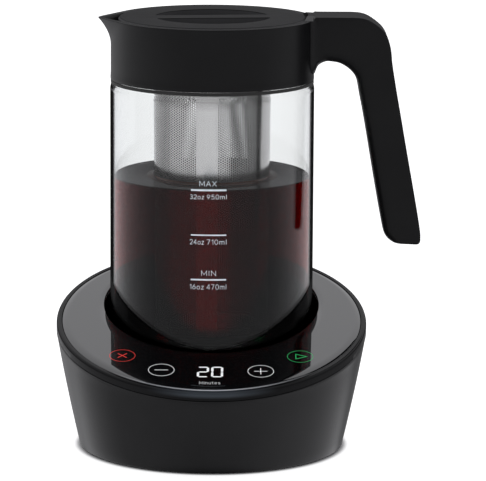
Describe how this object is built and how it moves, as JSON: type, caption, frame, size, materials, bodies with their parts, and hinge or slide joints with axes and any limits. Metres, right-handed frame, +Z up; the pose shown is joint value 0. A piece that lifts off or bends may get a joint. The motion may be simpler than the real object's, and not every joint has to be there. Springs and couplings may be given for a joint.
{
  "type": "cold brew coffee maker",
  "caption": "Cold brew coffee maker: glass jug with handle, spout, twist lid and steel basket filter, standing in the sloping round base that spins a magnetic stirrer.",
  "frame": {"origin": "centre of the bounding box at the table surface, under the feet", "axes": "+Z up; -Y towards the user, the side that the sloping touch panel faces; +X towards the jug's handle, -X towards its spout"},
  "size_m": [0.2064, 0.179, 0.2444],
  "materials": {
    "satin_black": "satin moulded plastic, fine spark-eroded texture",
    "gloss_black": "polished gloss trim ring",
    "panel_gloss": "mirror-gloss touch panel with printed pale marks",
    "liner_black": "semi-gloss moulded liner",
    "silicone": "matt grey silicone",
    "rubber": "matt black rubber",
    "zinc_steel": "zinc plated steel",
    "white_plastic": "natural white nylon",
    "circuit_board": "green solder mask",
    "component_black": "black component moulding",
    "lead_insulation": "black lead insulation",
    "stainless_bright": "ground stainless steel",
    "magnet_nickel": "nickel plated magnet",
    "jug_glass": "clear borosilicate glass with pale printed volume marks",
    "grip_black": "satin black soft-touch grip insert",
    "lid_black": "fine-textured black plastic",
    "stainless_mesh": "perforated stainless sheet",
    "filter_black": "black food-grade plastic"
  },
  "bodies": {
    "base": {"base_housing": "satin_black", "bezel_ring": "gloss_black", "top_panel": "panel_gloss", "well_liner": "liner_black", "well_mat": "silicone", "bottom_cover": "satin_black", "foot_1": "rubber", "foot_2": "rubber", "foot_3": "rubber", "foot_4": "rubber", "cover_screw_1": "zinc_steel", "cover_screw_2": "zinc_steel", "cover_screw_3": "zinc_steel", "cover_screw_4": "zinc_steel", "motor": "zinc_steel", "motor_bracket": "zinc_steel", "motor_post_1": "white_plastic", "motor_post_2": "white_plastic", "motor_post_3": "white_plastic", "motor_screw_1": "zinc_steel", "motor_screw_2": "zinc_steel", "motor_screw_3": "zinc_steel", "control_board": "circuit_board", "board_post_1": "white_plastic", "board_post_2": "white_plastic", "board_screw_1": "zinc_steel", "board_screw_2": "zinc_steel", "display_module": "component_black", "touch_pad_1": "rubber", "touch_pad_2": "rubber", "touch_pad_3": "rubber", "touch_pad_4": "rubber", "processor_chip": "component_black", "driver_chip": "component_black", "buzzer": "component_black", "power_inlet": "component_black", "inlet_pin": "stainless_bright", "inlet_lead": "lead_insulation", "motor_lead": "lead_insulation"},
    "drive": {"motor_shaft": "stainless_bright", "drive_hub": "white_plastic", "drive_magnet_1": "magnet_nickel", "drive_magnet_2": "magnet_nickel"},
    "carafe": {"glass_carafe": "jug_glass", "collar": "satin_black", "grip_insert": "grip_black", "collar_seal": "rubber", "rim_seal": "silicone"},
    "lid": {"lid_plug": "lid_black", "lid_gasket": "silicone"},
    "dial": {"lid_dial": "lid_black", "pour_shutter": "lid_black"},
    "filter": {"filter_neck": "filter_black", "filter_basket": "stainless_mesh", "filter_base": "filter_black", "stirrer_pin": "stainless_bright"},
    "stirrer": {"stirrer": "filter_black", "stirrer_magnet_1": "magnet_nickel", "stirrer_magnet_2": "magnet_nickel"}
  },
  "joints": [
    {"name": "drive_spin", "type": "hinge", "parent": "base", "child": "drive", "pos_m": [-0.0154, 0.01903, 0.038], "axis": [0, 0, 1], "continuous": true},
    {"name": "carafe_lift", "type": "slide", "parent": "base", "child": "carafe", "axis": [0, 0, 1], "range_m": [0, 0.06]},
    {"name": "lid_lift", "type": "slide", "parent": "carafe", "child": "lid", "axis": [0, 0, 1], "range_m": [0, 0.195]},
    {"name": "dial_turn", "type": "hinge", "parent": "lid", "child": "dial", "pos_m": [-0.0154, 0.01903, 0.24305], "axis": [0, 0, 1], "range_deg": [0, 90]},
    {"name": "filter_twist", "type": "hinge", "parent": "lid", "child": "filter", "pos_m": [-0.0154, 0.01903, 0.214], "axis": [0, 0, 1], "range_deg": [0, 30]},
    {"name": "stirrer_spin", "type": "hinge", "parent": "filter", "child": "stirrer", "pos_m": [-0.0154, 0.01903, 0.0552], "axis": [0, 0, 1], "continuous": true}
  ],
  "couplings": [
    {"joint": "stirrer_spin", "follows": "drive_spin", "ratio": 1}
  ]
}
